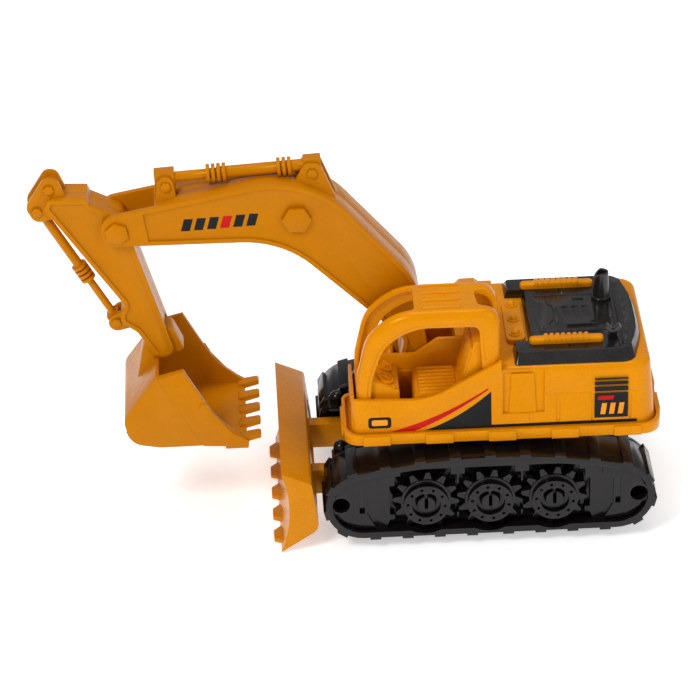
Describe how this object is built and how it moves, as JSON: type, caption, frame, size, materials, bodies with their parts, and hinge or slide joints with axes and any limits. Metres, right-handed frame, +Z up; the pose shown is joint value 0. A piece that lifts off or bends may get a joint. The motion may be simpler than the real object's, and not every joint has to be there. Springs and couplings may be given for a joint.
{
  "type": "toy excavator",
  "caption": "Moulded plastic toy crawler excavator with a slewing house and open cab, a jointed boom, stick and bucket, meshing road gears and a hinged dozer blade.",
  "frame": {"origin": "on the ground under the slewing axis, midway between the tracks", "axes": "+X forward towards the bucket, +Y towards the cab side (left), +Z up"},
  "size_m": [0.3087, 0.1104, 0.1935],
  "materials": {
    "house_yellow": "satin injection-moulded yellow plastic",
    "arm_amber": "satin injection-moulded amber plastic",
    "black": "glossy injection-moulded black plastic",
    "roller_black": "plain moulded dark plastic",
    "steel": "zinc-plated steel"
  },
  "bodies": {
    "chassis": {"chassis_frame": "black", "chassis_base_plate": "black", "chassis_screws": "steel", "left_track_shell": "black", "right_track_shell": "black", "track_screws": "steel", "blade_pin": "steel", "slew_washer": "steel", "slew_screw": "steel"},
    "front_wheels": {"front_axle": "steel", "front_rollers": "roller_black"},
    "rear_wheels": {"rear_axle": "steel", "rear_rollers": "roller_black"},
    "left_front_gear_body": {"left_front_gear": "black"},
    "left_middle_gear_body": {"left_middle_gear": "black"},
    "left_rear_gear_body": {"left_rear_gear": "black"},
    "right_front_gear_body": {"right_front_gear": "black"},
    "right_middle_gear_body": {"right_middle_gear": "black"},
    "right_rear_gear_body": {"right_rear_gear": "black"},
    "blade": {"dozer_blade": "arm_amber"},
    "house": {"house_tray": "house_yellow", "house_shell": "house_yellow", "house_screws": "steel", "cab_frame": "house_yellow", "cab_seat": "house_yellow", "dashboard": "house_yellow", "deck_cover": "black", "left_deck_rail": "house_yellow", "right_deck_rail": "house_yellow", "lamp_bar": "house_yellow", "exhaust_pipe": "black", "deck_bracket": "black", "boom_pin": "steel"},
    "boom": {"boom_left_shell": "arm_amber", "boom_right_shell": "arm_amber", "boom_screws": "steel", "boom_cylinder": "arm_amber", "boom_cylinder_pins": "arm_amber", "boom_hex_caps": "arm_amber", "stick_pin": "arm_amber"},
    "stick": {"stick_left_shell": "arm_amber", "stick_right_shell": "arm_amber", "stick_screws": "steel", "stick_cylinder": "arm_amber", "stick_cylinder_pins": "arm_amber", "bucket_pin": "arm_amber"},
    "bucket_body": {"bucket": "arm_amber"}
  },
  "joints": [
    {"name": "slew", "type": "hinge", "parent": "chassis", "child": "house", "pos_m": [0, 0, 0.0576], "axis": [0, 0, 1], "continuous": true},
    {"name": "boom_lift", "type": "hinge", "parent": "house", "child": "boom", "pos_m": [0.0344, -0.0055, 0.0825], "axis": [0, -1, 0], "range_deg": [-12, 25]},
    {"name": "stick_swing", "type": "hinge", "parent": "boom", "child": "stick", "pos_m": [0.1788, -0.0055, 0.1616], "axis": [0, -1, 0], "range_deg": [-22, 30]},
    {"name": "bucket_curl", "type": "hinge", "parent": "stick", "child": "bucket_body", "pos_m": [0.1588, -0.0055, 0.0934], "axis": [0, -1, 0], "range_deg": [-30, 35]},
    {"name": "blade_lift", "type": "hinge", "parent": "chassis", "child": "blade", "pos_m": [0.062, 0, 0.0232], "axis": [0, -1, 0], "range_deg": [-0.5, 20]},
    {"name": "front_wheel_spin", "type": "hinge", "parent": "chassis", "child": "front_wheels", "pos_m": [0.04, 0, 0.018], "axis": [0, 1, 0], "continuous": true},
    {"name": "rear_wheel_spin", "type": "hinge", "parent": "chassis", "child": "rear_wheels", "pos_m": [-0.04, 0, 0.018], "axis": [0, 1, 0], "continuous": true},
    {"name": "left_front_gear_spin", "type": "hinge", "parent": "chassis", "child": "left_front_gear_body", "pos_m": [0.032, 0.049, 0.0265], "axis": [0, 1, 0], "continuous": true},
    {"name": "left_middle_gear_spin", "type": "hinge", "parent": "chassis", "child": "left_middle_gear_body", "pos_m": [0, 0.049, 0.0265], "axis": [0, 1, 0], "continuous": true},
    {"name": "left_rear_gear_spin", "type": "hinge", "parent": "chassis", "child": "left_rear_gear_body", "pos_m": [-0.032, 0.049, 0.0265], "axis": [0, 1, 0], "continuous": true},
    {"name": "right_front_gear_spin", "type": "hinge", "parent": "chassis", "child": "right_front_gear_body", "pos_m": [0.032, -0.049, 0.0265], "axis": [0, 1, 0], "continuous": true},
    {"name": "right_middle_gear_spin", "type": "hinge", "parent": "chassis", "child": "right_middle_gear_body", "pos_m": [0, -0.049, 0.0265], "axis": [0, 1, 0], "continuous": true},
    {"name": "right_rear_gear_spin", "type": "hinge", "parent": "chassis", "child": "right_rear_gear_body", "pos_m": [-0.032, -0.049, 0.0265], "axis": [0, 1, 0], "continuous": true}
  ],
  "couplings": [
    {"joint": "left_middle_gear_spin", "follows": "left_front_gear_spin", "ratio": -1},
    {"joint": "left_rear_gear_spin", "follows": "left_front_gear_spin", "ratio": 1},
    {"joint": "right_middle_gear_spin", "follows": "right_front_gear_spin", "ratio": -1},
    {"joint": "right_rear_gear_spin", "follows": "right_front_gear_spin", "ratio": 1}
  ]
}
